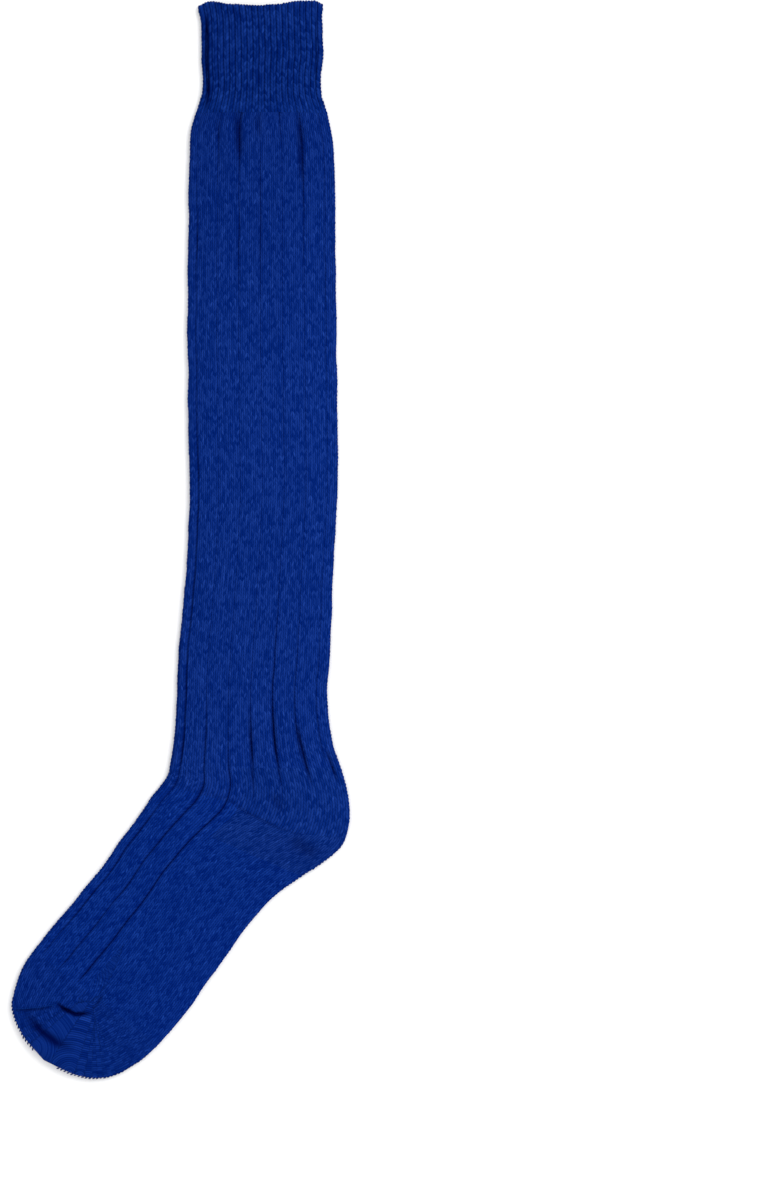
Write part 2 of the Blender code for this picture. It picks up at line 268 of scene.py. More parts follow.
print("leg, half way down:", ring(np.array([0.0, 0.25, 0.5]), 0.27, 0)[0].round(4).tolist())

# %% [markdown]
# ## Dents and creases
#
# Cloth that has been worn and washed never lies quite smooth. Below the cuff the wide leg is
# gathered into the narrow band, above the heel the ribs pull into short folds, and the toe has
# a hollow where its end is linked shut. Sculpting them would be slow to change. Each broad dent
# is a soft trough instead, told in shares of the sock's length and width.

# %% Dents in the upper layer
FOLD_EASE = 0.08
Dent = namedtuple("Dent", "first last start end share share_end width depth")
DENTS = (
    Dent("cuff end", "heel start", -0.02, 0.07, 0.32, 0.34, 0.040, 0.50),
    Dent("cuff end", "heel start", -0.01, 0.09, 0.77, 0.76, 0.040, 0.45),
    Dent("cuff end", "heel start", 0.92, 1.03, 0.47, 0.50, 0.035, 0.45),
    Dent("cuff end", "heel start", 0.90, 1.01, 0.63, 0.65, 0.035, 0.45),
    Dent("cuff end", "heel start", 0.92, 1.01, 0.79, 0.79, 0.035, 0.40),
    Dent("gore", "heel end", -0.35, 0.35, 0.75, 0.75, 0.250, 0.35),
    Dent("toe start", "toe tip", 0.08, 0.48, 0.64, 0.28, 0.060, 0.60),
    Dent("toe start", "toe tip", 0.35, 0.90, 0.34, 0.06, 0.060, 0.40),
    Dent("toe start", "toe tip", 0.60, 0.92, 0.60, 0.20, 0.080, 0.30),
)


def dent_depths(shares, alongs):
    """How far the dents lower a grid of the upper layer."""
    total = np.zeros_like(shares)
    for dent in DENTS:
        first, last = named_places[dent.first], named_places[dent.last]
        start = first + dent.start * (last - first)
        end = first + dent.end * (last - first)
        t = np.clip((alongs - start) / (end - start), 0, 1)[:, None]
        middle = dent.share + t * (dent.share_end - dent.share)
        spread = np.exp(-(((shares - middle) / dent.width) ** 2))
        total += dent.depth * CLOTH * np.sin(math.pi * t) * spread
    return total * np.clip(np.minimum(shares, 1 - shares) / FOLD_EASE, 0, 1)


# %% [markdown]
# The finer lines are creases. They cross from one part to the next, so each is a path in plan,
# with a width and a depth in metres. A path is counted in squares of 0.62 mm.

# %% Creases
SQUARE = 0.00062
MIDDLE_SQUARE = (181, 539)
# A crease fades over this share of its length at each end. Its painted shade is full at this depth.
CREASE_FADE = 0.3
CREASE_FOR_FULL_SHADE = 0.0016


def in_plan(path):
    """A path on the flat sock in metres, from a path in squares."""
    return (np.array(path, float) - MIDDLE_SQUARE) * (SQUARE, -SQUARE)


Crease = namedtuple("Crease", "width depth path")
CREASES = (
    # The cuff's side folds
    Crease(0.00105, 0.0026, ((207.5, 4), (207, 60), (208.5, 95), (205, 118))),
    Crease(0.00060, 0.0008, ((315.5, 8), (316, 60), (315, 96))),
    # Gathers below the cuff
    Crease(0.0022, 0.0013, ((236, 108), (238, 128), (240, 166))),
    Crease(0.0018, 0.0012, ((296, 108), (300, 130), (301, 188))),
    Crease(0.0018, 0.0007, ((257, 112), (259, 140))),
    Crease(0.0014, 0.0006, ((217, 116), (219, 150))),
    # The front fold of the leg
    Crease(0.00070, 0.0009, ((184, 560), (180, 640), (175, 740), (168, 790))),
    # Folds above the heel
    Crease(0.0008, 0.0012, ((249, 705), (251, 740), (254.5, 806))),
    Crease(0.0008, 0.0013, ((271, 690), (274, 735), (283, 798))),
    Crease(0.0010, 0.0018, ((294, 716), (302, 748), (312, 788))),
    Crease(0.0008, 0.0015, ((325, 746), (331, 763), (338, 784))),
    # The heel's pocket
    Crease(0.0035, 0.0007, ((272, 790), (283, 814))),
    Crease(0.0050, 0.0009, ((288, 834), (302, 846), (320, 856))),
    Crease(0.0010, 0.0006, ((203, 792), (229, 799), (247, 812), (280, 828), (304, 834))),
    # The toe's seam and the hollow below it
    Crease(0.0008, 0.0010, ((12, 1010), (40, 1008), (58, 1004))),
    Crease(0.0011, 0.0030, ((56, 1000), (64, 1007), (76, 1013), (93, 1012))),
    Crease(0.0028, 0.0019, ((25, 1010), (42, 1030), (58, 1042), (76, 1047))),
    Crease(0.0009, 0.0009, ((90, 1012), (99, 1001), (106, 990))),
)


def crease_depths(plan):
    """How far the creases lower a grid of points in plan. A crease fades at its ends."""
    total = np.zeros(plan.shape[:2])
    for crease in CREASES:
        path = in_plan(crease.path)
        lengths = np.linalg.norm(np.diff(path, axis=0), axis=1)
        starts = np.concatenate(([0], np.cumsum(lengths)))
        best = np.full(plan.shape[:2], np.inf)
        place = np.zeros(plan.shape[:2])
        for start, end, length, before in zip(path, path[1:], lengths, starts):
            t = np.clip(((plan - start) @ (end - start)) / length**2, 0, 1)
            away = np.linalg.norm(plan - start - t[..., None] * (end - start), axis=-1)
            nearer = away < best
            best = np.where(nearer, away, best)
            place = np.where(nearer, before + t * length, place)
        ease = np.clip(np.minimum(place, starts[-1] - place) / (CREASE_FADE * starts[-1]), 0, 1)
        total += crease.depth * np.exp(-((best / crease.width) ** 2)) * ease
    return total


# %% [markdown]
# ## The places of the stitches
#
# Knitting is columns of V-shaped stitches, called wales, in rows called courses. A texture
# follows them if each point of the cloth knows its wale and its course, so these two numbers go
# into a UV map. The leg and the instep have five wales to a rib. The heel is a pocket of its own:
# above its slanted line the wales run down the leg, and below it they run along the foot. So the
# heel and the toe get a second UV map and a number that says on which side of the line a point
# is, and the material picks the map.

# %% Wales and courses
WALES_PER_RIB = 5
COURSE = 0.00226
SOLE_WALE = 0.00266
LEG_WALES = WALES_PER_RIB * LEG_RIBS
SOLE_SIDES = tuple((ribs + RIB_PHASE) / LEG_RIBS for ribs in HEEL_RIBS)
BACK_WALE = LEG_WALES * 0.5 - WALES_PER_RIB * RIB_PHASE
foot_across = np.array((math.cos(ANKLE_TURN), -math.sin(ANKLE_TURN)))
foot_onward = np.array((foot_across[1], -foot_across[0]))


def column_lengths(alongs, rounds):
    """The length of cloth down one column, from the first place to each of the others."""
    points, _ = cloth_points(np.array([rounds]), alongs, 0)
    steps = np.linalg.norm(np.diff(points[:, 0], axis=0), axis=1)
    return np.concatenate(([0], np.cumsum(steps)))


# Courses are counted at this way around, on the front of the leg
FRONT_WAY = 0.15
all_alongs = np.linspace(0, line_places[-1], 900)
front_lengths = column_lengths(all_alongs, FRONT_WAY)
courses_down = round(front_lengths[-1] / COURSE)
print("wales around the leg:", LEG_WALES, "and courses down the front:", courses_down)

# %% The stitches of the sole and the toe
# Their outline, from the heel round the tip and up to the toe's seam
outline_alongs = np.linspace(named_places["heel start"], line_places[-1], 300)
outline = np.array([line_at(along)[0][2:4] for along in outline_alongs])
tip_alongs = np.linspace(line_places[-1], named_places["toe start"], 120)
outline = np.vstack((outline, [line_at(along)[0][:2] for along in tip_alongs]))
outline_lengths = np.concatenate(([0], np.cumsum(np.linalg.norm(np.diff(outline, axis=0), axis=1))))
sole_count = len(outline_alongs)
# Over this length before the toe, the columns turn to run round it
TOE_EASE = 0.05
# Every third point of the outline is close enough to measure from
OUTLINE_STEP = 3


def sole_places(plan):
    """Wales in from the sole's edge and courses along it, for points in plan.

    Along the sole a wale keeps its distance from the edge, measured straight across the foot.
    Round the toe it keeps its distance from the nearest edge.
    """
    back_edge = outline[:sole_count]
    onward_edge, across_edge = back_edge @ foot_onward, back_edge @ foot_across
    order = np.argsort(onward_edge)
    onward, across = plan @ foot_onward, plan @ foot_across
    straight = np.interp(onward, onward_edge[order], across_edge[order]) - across
    edge_place = np.interp(onward, onward_edge[order], outline_lengths[:sole_count][order])
    gaps = np.linalg.norm(plan[..., None, :] - outline[::OUTLINE_STEP], axis=-1)
    nearest = gaps.argmin(axis=-1)
    toe_from = outline[np.searchsorted(outline_alongs, named_places["toe start"])] @ foot_onward
    share = np.clip((onward - toe_from + TOE_EASE) / TOE_EASE, 0, 1)
    share = share * share * (3 - 2 * share)
    distance = straight * (1 - share) + gaps.min(axis=-1) * share
    place = edge_place * (1 - share) + outline_lengths[::OUTLINE_STEP][nearest] * share
    return distance / SOLE_WALE, place / COURSE


# %% [markdown]
# ## Walls of cloth
#
# Each part of the sock is a closed wall: an outer face, an inner face and a rim where it meets
# the next part or the open mouth. The wall is built from a grid of places on the cloth. The grid
# is fine where a groove sinks and coarse on the flat of a rib, and neighbouring parts share their
# last row, so that no gap shows between them.

# %% The grids
# The columns in one rib: many on the upper layer, few on the lower one
UPPER_SHARES = np.linspace(0, 1, 26, endpoint=False)
LOWER_SHARES = (0, 0.04, 0.08, 0.18, 0.34, 0.50, 0.66, 0.82, 0.92, 0.96)
CUFF_SHARES = np.linspace(0, 1, 8, endpoint=False)
leg_columns = [
    (rib + share + RIB_PHASE) / LEG_RIBS
    for rib in range(LEG_RIBS)
    for share in (UPPER_SHARES if rib < LEG_RIBS // 2 else LOWER_SHARES)
]
leg_columns = np.array(leg_columns)
cuff_columns = (np.arange(CUFF_RIBS)[:, None] + CUFF_SHARES[None, :]).ravel() / CUFF_RIBS
# "steps" is the number of rows from each named place to the next
Stretch = namedtuple("Stretch", "columns names steps closed_tip")
STRETCHES = {
    "cuff": Stretch(cuff_columns, ("mouth", "cuff end"), (80,), False),
    "leg": Stretch(leg_columns, ("cuff end", "heel start", "gore"), (156, 14), False),
    "heel": Stretch(leg_columns, ("heel start", "gore", "heel end"), (24, 40), False),
    "foot": Stretch(leg_columns, ("gore", "heel end", "toe start"), (20, 90), False),
    "toe": Stretch(leg_columns, ("toe start", "toe tip"), (84,), True),
}


def covered(piece, rounds, along):
    """Whether a part of the sock covers a place on the cloth."""
    behind = is_behind(rounds)
    if piece == "leg":
        return ~behind | (along < named_places["heel start"])
    if piece == "heel":
        return behind
    if piece == "foot":
        return ~behind | (along > named_places["heel end"])
    return np.ones_like(behind)


def grid_rows(piece):
    """The places along the sock of a part's rows."""
    stretch = STRETCHES[piece]
    rows = [named_places[stretch.names[0]]]
    for start, end, steps in zip(stretch.names, stretch.names[1:], stretch.steps):
        rows += list(np.linspace(named_places[start], named_places[end], steps + 1)[1:])
    return np.array(rows)


# %% Grooves between the ribs
# Worn ribs have opened here and closed there. A column of this table is a groove, counted from
# the front fold, and a row is a place down the leg, as a share from the cuff to the heel.
GROOVE_PLACES = (0, 0.05, 0.12, 0.20, 0.28, 0.45, 0.60, 0.75, 0.88, 0.96, 1.02)
GROOVE_STRENGTHS = (
    (0.20, 0.30, 0.80, 0.30, 0.80, 0.30, 0.30),
    (0.30, 0.55, 0.85, 0.25, 0.25, 0.90, 0.35),
    (0.35, 0.20, 0.35, 0.60, 0.25, 0.60, 0.30),
    (0.90, 0.25, 0.90, 0.70, 0.30, 0.35, 0.30),
    (0.45, 0.25, 0.30, 0.30, 0.25, 0.30, 0.35),
    (0.40, 0.20, 0.25, 0.25, 0.30, 0.25, 0.30),
    (0.90, 0.20, 0.25, 0.20, 0.25, 0.25, 0.30),
    (1.20, 0.20, 0.20, 0.25, 0.40, 0.25, 0.35),
    (1.30, 0.30, 0.30, 0.35, 1.00, 0.60, 0.40),
    (1.20, 0.90, 0.50, 0.90, 1.20, 1.10, 0.70),
    (0.90, 1.00, 0.90, 1.00, 1.00, 0.60, 0.60),
)
# The instep's grooves, as shares from the ankle's bend to the toe
INSTEP_PLACES = (0, 0.3, 0.7, 1)
INSTEP_STRENGTHS = ((0.9, 1.0, 1.0), (0.8, 0.9, 1.0), (0.8, 0.9, 1.0), (0.7, 0.9, 1.1))
GROOVE_WIDTH = 0.00062
GROOVE_DEPTH = 0.0009
CUFF_GROOVE_DEPTH = 0.0006
CUFF_MIDDLE_DEPTH = 0.00022
RIB_CROWN = 0.00022
RIB_FADE = 0.008
CUFF_FADE = 0.010
CUFF_LEAST = 0.25
HEEL_FADE = 0.010
WAVER = 0.00022
WAVER_SEED, WAVER_SMOOTHNESS = 40, 10
groove_wavers = np.array(
    [smooth_noise(WAVER_SEED + rib, WAVER_STEPS, WAVER_SMOOTHNESS) for rib in range(LEG_RIBS)]
)


def strength_at(piece, grooves, alongs):
    """The strength of each groove at each place. The lower layer mirrors the upper one."""
    grooves = np.where(grooves >= LEG_RIBS // 2, LEG_RIBS - 1 - grooves, grooves) % (LEG_RIBS // 2)
    if piece == "leg":
        first, last = named_places["cuff end"], named_places["heel start"]
        places, table = GROOVE_PLACES, np.array(GROOVE_STRENGTHS)
    else:
        first, last = named_places["gore"], named_places["toe start"]
        places, table = INSTEP_PLACES, np.array(INSTEP_STRENGTHS)
        grooves = np.minimum(grooves, table.shape[1] - 1)
    share = (alongs - first) / (last - first)
    columns = np.array([np.interp(share, places, column) for column in table.T])
    return columns[grooves].T


def rib_places(rounds):
    """How far each way around is from its nearest groove, in ribs, and that groove's number."""
    place = rounds * LEG_RIBS - RIB_PHASE
    nearest = np.round(place).astype(int)
    return place - nearest, nearest % LEG_RIBS


def ribbing(piece, rounds, alongs):
    """The strength of the ribs over a grid: 0 where the cloth is plain."""
    if piece == "heel":
        return np.zeros((len(alongs), len(rounds)))
    if piece == "cuff":
        fade = np.clip((named_places["cuff end"] - alongs) / CUFF_FADE, CUFF_LEAST, 1)
        return np.tile(fade[:, None], (1, len(rounds)))
    strength = strength_at(piece, rib_places(rounds)[1], alongs)
    behind = is_behind(rounds)[None, :]
    if piece in ("foot", "toe"):
        fade = np.clip((named_places["toe start"] - alongs) / RIB_FADE, 0, 1)[:, None]
        strength = strength * fade * ~behind
    if piece == "leg":
        fade = np.clip((named_places["heel start"] - alongs) / HEEL_FADE, 0, 1)[:, None]
        strength = np.where(behind, strength * fade, strength)
    return strength


def groove_depths(piece, rounds, alongs):
    """How far the rib grooves sink a grid of the outer face."""
    strength = ribbing(piece, rounds, alongs)
    if piece == "cuff":
        turn = 2 * math.pi * rounds * CUFF_RIBS
        depth = CUFF_GROOVE_DEPTH * (0.5 + 0.5 * np.cos(turn)) ** 1.5
        return strength * (depth + CUFF_MIDDLE_DEPTH * (0.5 - 0.5 * np.cos(turn)) ** 3)[None, :]
    away, groove = rib_places(rounds)
    girths = np.array([2 * np.linalg.norm(line_at(a)[0][2:4] - line_at(a)[0][:2]) for a in alongs])
    metres = away[None, :] * (girths / LEG_RIBS)[:, None]
    waver = np.array([np.interp(alongs, waver_places, groove_wavers[g]) for g in groove]).T
    depth = GROOVE_DEPTH * np.exp(-(((metres + waver * WAVER) / GROOVE_WIDTH) ** 2))
    crown = RIB_CROWN * (0.5 + 0.5 * np.cos(2 * math.pi * away))[None, :]
    return strength * depth + np.minimum(strength, 1) * crown


# %% The two faces of a wall
# A crease fades near the sock's sides, over this share of its width. Inside it is shallower.
CREASE_EASE = 0.03
INNER_CREASE = 0.5


def wall_points(piece, rounds, alongs):
    """The grids of the outer and the inner face, with their grooves, dents and creases."""
    outer, shares = cloth_points(rounds, alongs, 0)
    inner, inner_shares = cloth_points(rounds, alongs, CLOTH)
    inward = (inner - outer) / CLOTH
    outer = outer + inward * groove_depths(piece, rounds, alongs)[..., None]
    top = (rounds % 1 < 0.5)[None, :]
    ease = np.clip(np.minimum(shares, 1 - shares) / CREASE_EASE, 0, 1)
    outer[..., 2] -= dent_depths(shares, alongs) * top
    outer[..., 2] -= crease_depths(outer[..., :2]) * top * ease
    inner[..., 2] -= dent_depths(inner_shares, alongs) * top
    inner[..., 2] -= np.minimum(crease_depths(inner[..., :2]), CLOTH / 2) * top * INNER_CREASE
    return outer, inner


# %% The rims and the tip of a wall
# The sides of a grid's cell: the way to its neighbour, and the side's two ends
CELL_SIDES = (
    (0, -1, (0, 0), (1, 0)),
    (1, 0, (1, 0), (1, 1)),
    (0, 1, (1, 1), (0, 1)),
    (-1, 0, (0, 1), (0, 0)),
)


def open_sides(cells, closed_tip):
    """The sides where the cloth ends. Each is its two ends, as rows and columns of the grid."""
    covers = np.pad(cells, ((1, 1), (0, 0)))
    covers[-1] = closed_tip
    sides = []
    for row, column in zip(*np.nonzero(cells)):
        for down, right, start, end in CELL_SIDES:
            if not covers[row + 1 + down, (column + right) % cells.shape[1]]:
                sides.append([(row + i, column + j) for i, j in (start, end)])
    return sides


def tip_points():
    """The outer and the inner point that close the toe."""
    value, _ = line_at(line_places[-1])
    across = (value[2:4] - value[:2]) / np.linalg.norm(value[2:4] - value[:2])
    onward = np.array((across[1], -across[0]))
    middle = (value[:2] + value[2:4]) / 2
    return [(*(middle + onward * (TIP_REACH - inset)), value[4] / 2) for inset in (0, CLOTH)]


# %% From a grid to a closed wall
def cloth_wall(piece):
    """One part of the sock as a mesh object, with its stitch places in UV maps."""
    stretch = STRETCHES[piece]
    rounds, alongs = stretch.columns, grid_rows(piece)
    rows, columns = len(alongs), len(rounds)
    count = rows * columns
    outer, inner = wall_points(piece, rounds, alongs)
    points = np.vstack((outer.reshape(-1, 3), inner.reshape(-1, 3), *tip_points()))
    centres = rounds + (np.roll(rounds, -1) - rounds) % 1 / 2
    row_centres = (alongs[:-1] + alongs[1:]) / 2
    cells = np.array([covered(piece, centres, along) for along in row_centres])
    # Each corner of a face is a row and a column of the grid. The inner faces are turned round.
    r, c = np.nonzero(cells)
    corners = np.stack([(r, r + 1, r + 1, r), (c, c, c + 1, c + 1)], axis=-1).swapaxes(0, 1)
    quads = corners[..., 0] * columns + corners[..., 1] % columns
    corners = np.concatenate((corners, corners[:, ::-1])).reshape(-1, 2)
    faces = [*quads, *(quads[:, ::-1] + count)]
    more_corners = []
    rims = open_sides(cells, stretch.closed_tip)
    for start, end in rims:
        a, b = (row * columns + column % columns for row, column in (start, end))
        faces.append((a, a + count, b + count, b))
        more_corners += [start, start, end, end]
    for column in range(columns if stretch.closed_tip else 0):
        a, b = ((rows - 1) * columns + k % columns for k in (column, column + 1))
        faces += [(a, 2 * count, b), (b + count, 2 * count + 1, a + count)]
        more_corners += [(rows - 1, column + k) for k in (0, 0, 1, 1, 0, 0)]
    used = np.unique([corner for face in faces for corner in face])
    renumber = np.full(len(points), -1)
    renumber[used] = np.arange(len(used))
    polygons = [tuple(renumber[list(face)]) for face in faces]
    mesh = bpy.data.meshes.new(piece + " knit")
    mesh.from_pydata(points[used].tolist(), [], polygons)
    # A rim is flat, and the sharp edge round it keeps the shading level with the next part's
    first, last = 2 * len(quads), 2 * len(quads) + len(rims)
    smooth = np.ones(len(faces), bool)
    smooth[first:last] = False
    mesh.polygons.foreach_set("use_smooth", smooth)
    loop_edges = np.zeros(len(mesh.loops), np.int32)
    mesh.loops.foreach_get("edge_index", loop_edges)
    sharp = np.zeros(len(mesh.edges), bool)
    sharp[loop_edges[4 * first : 4 * last]] = True
    mesh.edges.foreach_set("use_edge_sharp", sharp)
    corners = np.vstack((corners, more_corners))
    for name, values in stitch_maps(piece, rounds, alongs, outer).items():
        layer = mesh.uv_layers.new(name=name)
        places = values[corners[:, 0], corners[:, 1]]
        layer.data.foreach_set("uv", places.astype(np.float32).ravel())
    wall = bpy.data.objects.new(piece + "_knit", mesh)
    bpy.context.scene.collection.objects.link(wall)
    return wall


# %% [markdown]
# The line where the heel's two halves meet, and the toe's seam, are each a row of points in
# plan. A point's side is its distance above or below that line, and it changes sign on it.

# %% Seam lines
HEEL_LINE = in_plan(
    ((150, 770), (170, 775), (203, 792), (229, 799), (247, 812))
    + ((262, 818), (280, 828), (300, 833), (348, 838), (360, 838))
)
TOE_LINE = in_plan(
    ((0, 1009), (13, 1010), (40, 1010), (60, 1005))
    + ((76, 1012), (92, 1013), (100, 1000), (120, 960))
)
# The top of the leg is a little darker below the cuff, and that fades over this length
TONE_REACH = 0.16


def height_above(line, plan):
    """How far points in plan lie above a line that runs from left to right."""
    return plan[..., 1] - np.interp(plan[..., 0], line[:, 0], line[:, 1])


def stitch_maps(piece, rounds, alongs, outer):
    """The UV maps of one part: wale and course, the turned ones, the marks, painted shade and tone.
    """
    wide = np.append(rounds, rounds[0] + 1)
    plan = np.concatenate((outer[..., :2], outer[:, :1, :2]), axis=1)
    lower = (wide % 1 > 0.5)[None, :]
    if piece == "cuff":
        wales = np.tile(wide * CUFF_RIBS, (len(alongs), 1))
    else:
        wales = np.tile(wide * LEG_WALES - WALES_PER_RIB * RIB_PHASE, (len(alongs), 1))
    courses = np.interp(alongs, all_alongs, front_lengths) / COURSE
    courses = np.tile(courses[:, None], (1, len(wide)))
    side = np.ones_like(wales)
    turned_wales, turned_courses = wales, courses
    if piece in ("heel", "foot", "toe"):
        distance, turned_courses = sole_places(plan)
        turned_wales = BACK_WALE + np.where(lower, distance, -distance)
        side = height_above(TOE_LINE if piece == "toe" else HEEL_LINE, plan) / COURSE
    if piece == "heel":
        # Above its line the heel's wales run straight down the leg
        edge = [cloth_points(np.array([s]), alongs, 0)[0][:, 0] for s in (SOLE_SIDES[0], 0.5)]
        share = (plan[..., 0] - edge[0][:, None, 0]) / (edge[1] - edge[0])[:, None, 0]
        span = BACK_WALE - (LEG_WALES * SOLE_SIDES[0] - WALES_PER_RIB * RIB_PHASE)
        wales = BACK_WALE + np.where(lower, 1 - share, share - 1) * span
        courses = -plan[..., 1] / COURSE
    if piece in ("foot", "toe"):
        behind = is_behind((wide[:-1] + wide[1:]) / 2)
        behind = np.append(behind, behind[0])[None, :]
        side = np.where(behind, np.minimum(side, -1), 1 if piece == "foot" else side)
    # Creases are also painted darker: painted shade, fullest where a crease is deepest
    crease_shade = crease_depths(plan) / CREASE_FOR_FULL_SHADE * (wide % 1 < 0.5)[None, :]
    tone = np.zeros_like(crease_shade)
    if piece == "leg":
        tone += np.clip(1 - (alongs - named_places["cuff end"]) / TONE_REACH, 0, 1)[:, None]
    return {
        "Knit": np.stack((wales, courses), axis=-1),
        "Turned": np.stack((turned_wales, turned_courses), axis=-1),
        "Marks": np.stack((side, ribbing(piece, wide, alongs)), axis=-1),
        "Folds": np.stack((crease_shade, tone), axis=-1),
    }


# %% Build the five walls
walls = {piece: cloth_wall(piece) for piece in PIECES}
for piece, wall in walls.items():
    print(piece, "has", len(wall.data.polygons), "faces")

# %% [markdown]
# ## Knitted cloth
#
# A stitch is two slanted legs of yarn. Between the legs and between the stitches are small gaps,
# where shade falls; the material paints that shade into the colour. The yarn is spun from many
# fibres that take the dye a little differently, so the colour changes from stitch to stitch. One
# node group turns a wale and a course into the height of the yarn, from which the gaps' painted
# shade comes, and the random tone of each stitch, and each part's material uses it.

# %% Small helpers for node trees
def feed(tree, socket, value):
    """Give a socket a number or a colour, or another node's output."""
    if isinstance(value, (int, float, tuple)):
        socket.default_value = value
    else:
        tree.links.new(value, socket)


def math_node(tree, operation, *values, clamp=False):
    """A Math node. Each value is a number or another node's output."""
    node = tree.nodes.new("ShaderNodeMath")
    node.operation = operation
    node.use_clamp = clamp
    for socket, value in zip(node.inputs, values):
        feed(tree, socket, value)
    return node.outputs[0]


def mix_colours(tree, factor, first, second):
    """A Mix node. Each colour is three numbers or another node's output."""
    node = tree.nodes.new("ShaderNodeMix")
    node.data_type = "RGBA"
    feed(tree, node.inputs["Factor"], factor)
    for name, value in (("A", first), ("B", second)):
        socket = [s for s in node.inputs if s.name == name and s.type == "RGBA"][0]
        feed(tree, socket, (*value, 1) if isinstance(value, tuple) else value)
    return [s for s in node.outputs if s.type == "RGBA"][0]


def uv_output(tree, name):
    """The two numbers that a UV map holds."""
    node = tree.nodes.new("ShaderNodeUVMap")
    node.uv_map = name
    parts = tree.nodes.new("ShaderNodeSeparateXYZ")
    tree.links.new(node.outputs["UV"], parts.inputs[0])
    return parts.outputs["X"], parts.outputs["Y"]


def new_group(name, kind, inputs, outputs):
    """A node group with named inputs and outputs, and the two nodes that hold them."""
    tree = bpy.data.node_groups.new(name, kind)
    for way, sockets in (("INPUT", inputs), ("OUTPUT", outputs)):
        for socket, holds in sockets.items():
            tree.interface.new_socket(socket, in_out=way, socket_type="NodeSocket" + holds)
    return tree, tree.nodes.new("NodeGroupInput"), tree.nodes.new("NodeGroupOutput")


# %% The stitch group
# How late the yarn thins towards the ends of a stitch
PLUMPNESS = 2.5


def build_stitches():
    """The group that turns a wale and a course into yarn."""
    tree, inputs, outputs = new_group(
        "Knit Stitches",
        "ShaderNodeTree",
        dict.fromkeys(("Wale", "Course", "Slant"), "Float"),
        dict.fromkeys(("Height", "Shade", "Fleck"), "Float"),
    )
    calc = partial(math_node, tree)
    wale, course, slant = (inputs.outputs[name] for name in ("Wale", "Course", "Slant"))
    # From 0 in the middle of the V to 1 at its sides
    aside = calc("MULTIPLY", calc("ABSOLUTE", calc("SUBTRACT", calc("FRACT", wale), 0.5)), 2.0)
    across = calc("SUBTRACT", calc("MULTIPLY", aside, 2.0), 1.0)
    roundness = calc("SUBTRACT", 1.0, calc("POWER", calc("ABSOLUTE", across), 2.0))
    # Each leg of the V climbs towards its side
    lifted = calc("ADD", course, calc("MULTIPLY", aside, slant))
    along = calc("SUBTRACT", calc("MULTIPLY", calc("FRACT", lifted), 2.0), 1.0)
    plump = calc("SUBTRACT", 1.0, calc("POWER", calc("ABSOLUTE", along), PLUMPNESS))
    arch = calc("ADD", calc("MULTIPLY", plump, 0.5), 0.5)
    height = calc("MULTIPLY", calc("SQRT", roundness), arch)
    # Each leg has its own random shade
    leg = tree.nodes.new("ShaderNodeCombineXYZ")
    tree.links.new(calc("FLOOR", calc("MULTIPLY", wale, 2.0)), leg.inputs["X"])
    tree.links.new(calc("FLOOR", lifted), leg.inputs["Y"])
    noise = tree.nodes.new("ShaderNodeTexWhiteNoise")
    noise.noise_dimensions = "2D"
    tree.links.new(leg.outputs[0], noise.inputs["Vector"])
    fleck = tree.nodes.new("ShaderNodeSeparateColor")
    tree.links.new(noise.outputs["Color"], fleck.inputs[0])
    tree.links.new(height, outputs.inputs["Height"])
    tree.links.new(noise.outputs["Value"], outputs.inputs["Shade"])
    tree.links.new(fleck.outputs[1], outputs.inputs["Fleck"])
    return tree


stitches = build_stitches()
print("the stitch group has", len(stitches.nodes), "nodes")

# %% The cloth's material
# A dye's dark colour is what the painted shade and the leg's darker top mix towards
Dye = namedtuple("Dye", "dark main light")
DYES = {
    "cuff": Dye((0.0001, 0.0028, 0.046), (0.0002, 0.0100, 0.110), (0.0095, 0.0440, 0.268)),
    "leg": Dye((0.0002, 0.0040, 0.064), (0.0004, 0.0132, 0.144), (0.0128, 0.0520, 0.308)),
    "heel": Dye((0.0002, 0.0038, 0.062), (0.0004, 0.0130, 0.137), (0.0125, 0.0510, 0.295)),
    "foot": Dye((0.0002, 0.0038, 0.066), (0.0002, 0.0125, 0.148), (0.0085, 0.0470, 0.305)),
    "toe": Dye((0.0002, 0.0034, 0.060), (0.0002, 0.0117, 0.136), (0.0088, 0.0455, 0.300)),
}
# How many wales apart the painted shade lines in the grooves are, how narrow, and how strong
CUFF_GROOVE_SHADE = (1.0, 5.0, 0.45)
RIB_GROOVE_SHADE = (float(WALES_PER_RIB), 2.6, 0.85)
SLANT = 0.8
STITCH_BUMP = 0.0006
# How narrow the gaps between the yarn are, and how much painted shade they get
GAP_NARROWNESS, GAP_PAINTED_SHADE = 1.6, 0.75
# How far the shade spreads, and how rare and how light the flecks are
SHADE_SPREAD, FLECK_RARITY, FLECK_LIGHT = 0.48, 0.94, 0.25
# How much painted shade the creases get, and how much darker the leg's top is
CREASE_PAINTED_SHADE, TONE_DARKNESS = 0.85, 0.20
YARN_ROUGHNESS = 0.9


